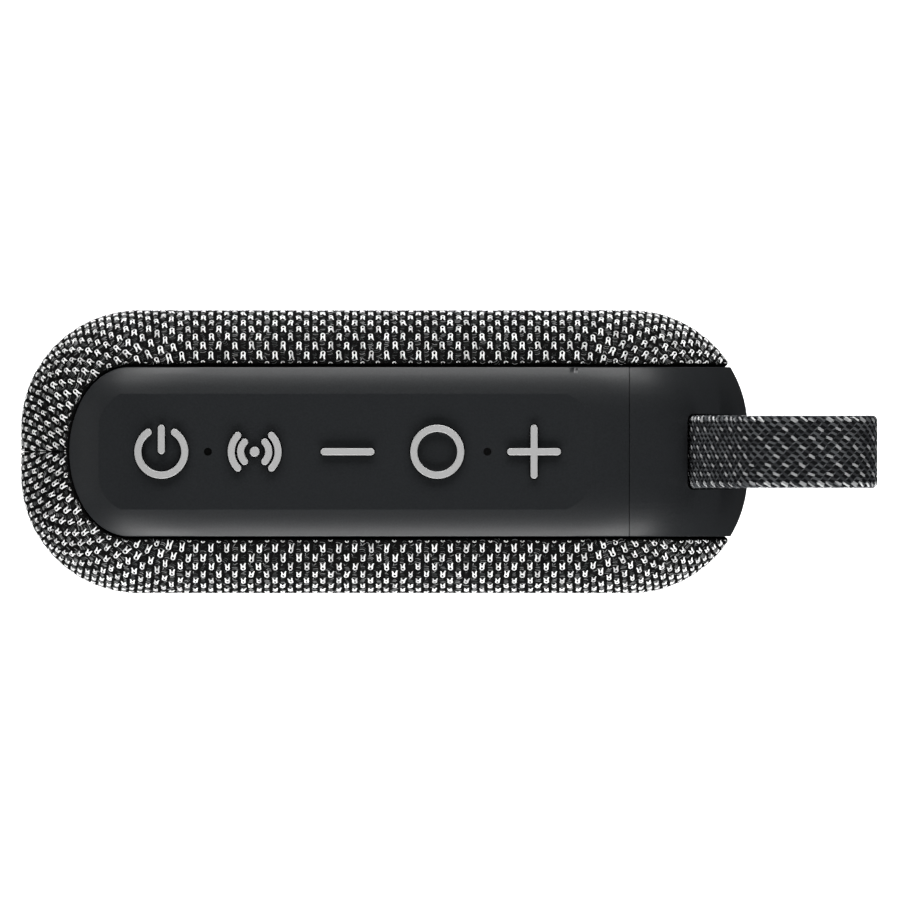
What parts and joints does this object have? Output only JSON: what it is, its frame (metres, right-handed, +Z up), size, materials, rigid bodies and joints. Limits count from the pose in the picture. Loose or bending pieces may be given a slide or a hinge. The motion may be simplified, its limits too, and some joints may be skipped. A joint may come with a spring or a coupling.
{
  "type": "portable shower speaker",
  "caption": "Small rounded waterproof speaker with knitted covers, a top control panel of raised keys and a webbing carry loop at one corner.",
  "frame": {"origin": "centre of the flat underside of the foot pad", "axes": "+X along the control panel towards the carry loop, -Y the front (driver) side, +Z up"},
  "size_m": [0.1243, 0.041, 0.095],
  "materials": {
    "knit": "black knit with white flecks",
    "webbing": "dark woven webbing with grey flecks",
    "panel_rubber": "soft satin rubber",
    "cap_plastic": "satin moulded plastic",
    "key_rubber": "soft satin rubber",
    "symbol_plastic": "light grey moulded symbols",
    "cover_rubber": "soft matt rubber",
    "foot_rubber": "matt rubber",
    "black_plastic": "moulded plastic",
    "housing_plastic": "moulded plastic",
    "seal_rubber": "silicone seal",
    "board_green": "solder-masked board",
    "chip_black": "moulded chip",
    "ribbon_amber": "polyimide ribbon",
    "steel": "plated steel",
    "black_steel": "black-plated steel",
    "can_aluminium": "plain can",
    "battery_wrap": "wrapped cell",
    "copper": "enamelled copper wire",
    "magnet_grey": "sintered magnet",
    "paper_black": "pressed paper cone",
    "lens": "dark clear light pipe",
    "wire_black": "insulated wire"
  },
  "bodies": {
    "case": {"amplifier_chip": "chip_black", "battery_cell": "battery_wrap", "battery_leads": "wire_black", "board_screws": "steel", "charger_chip": "chip_black", "driver_frame": "black_plastic", "driver_surround": "key_rubber", "end_cap": "cap_plastic", "filter_capacitors": "can_aluminium", "flex_cable": "ribbon_amber", "foot_pad": "foot_rubber", "front_fabric": "knit", "front_grille": "black_plastic", "housing_screws": "steel", "housing_seal": "seal_rubber", "key_board": "board_green", "light_pipe": "lens", "magnet": "magnet_grey", "main_board": "board_green", "main_housing": "housing_plastic", "microphone": "steel", "microphone_boot": "key_rubber", "panel_frame": "black_plastic", "panel_skin": "panel_rubber", "port_cover_pin": "steel", "radiator_frame": "black_plastic", "radiator_surround": "key_rubber", "radio_module": "steel", "rear_fabric": "knit", "rear_grille": "black_plastic", "rear_housing": "housing_plastic", "ribbon_socket": "chip_black", "speaker_gaskets": "seal_rubber", "speaker_leads": "wire_black", "speaker_screws": "steel", "spider": "ribbon_amber", "status_led": "chip_black", "strap_bar": "black_steel", "tact_switches": "chip_black", "top_plate": "steel", "usb_c_port": "steel", "yoke": "steel"},
    "power_key": {"power_symbol": "symbol_plastic", "power_pad": "key_rubber"},
    "pairing_key": {"pairing_symbol": "symbol_plastic", "pairing_pad": "key_rubber"},
    "volume_down_key": {"volume_down_symbol": "symbol_plastic", "volume_down_pad": "key_rubber"},
    "play_key": {"play_symbol": "symbol_plastic", "play_pad": "key_rubber"},
    "volume_up_key": {"volume_up_symbol": "symbol_plastic", "volume_up_pad": "key_rubber"},
    "carry_loop": {"strap": "webbing"},
    "port_flap": {"port_cover": "cover_rubber"},
    "driver_motor": {"driver_cone": "paper_black", "dust_cap": "paper_black", "voice_coil": "copper"},
    "radiator": {"radiator_plate": "black_plastic", "radiator_weight": "steel"}
  },
  "joints": [
    {"name": "power_press", "type": "slide", "parent": "case", "child": "power_key", "axis": [0, 0, -1], "range_m": [0, 0.00035], "stiffness_N_per_m": 2500},
    {"name": "pairing_press", "type": "slide", "parent": "case", "child": "pairing_key", "axis": [0, 0, -1], "range_m": [0, 0.00035], "stiffness_N_per_m": 2500},
    {"name": "volume_down_press", "type": "slide", "parent": "case", "child": "volume_down_key", "axis": [0, 0, -1], "range_m": [0, 0.00035], "stiffness_N_per_m": 2500},
    {"name": "play_press", "type": "slide", "parent": "case", "child": "play_key", "axis": [0, 0, -1], "range_m": [0, 0.00035], "stiffness_N_per_m": 2500},
    {"name": "volume_up_press", "type": "slide", "parent": "case", "child": "volume_up_key", "axis": [0, 0, -1], "range_m": [0, 0.00035], "stiffness_N_per_m": 2500},
    {"name": "strap_swing", "type": "hinge", "parent": "case", "child": "carry_loop", "pos_m": [0.04582, 0, 0.0736], "axis": [0, 1, 0], "range_deg": [0, 25]},
    {"name": "port_cover_hinge", "type": "hinge", "parent": "case", "child": "port_flap", "pos_m": [0.05145, 0, 0.0296], "axis": [0, 1, 0], "range_deg": [0, 100]},
    {"name": "driver_travel", "type": "slide", "parent": "case", "child": "driver_motor", "axis": [0, -1, 0], "range_m": [-0.0012, 0.0012], "stiffness_N_per_m": 1500, "deforming": ["driver_surround", "spider"]},
    {"name": "radiator_travel", "type": "slide", "parent": "case", "child": "radiator", "axis": [0, 1, 0], "range_m": [-0.0015, 0.0015], "stiffness_N_per_m": 900, "deforming": ["radiator_surround"]}
  ]
}
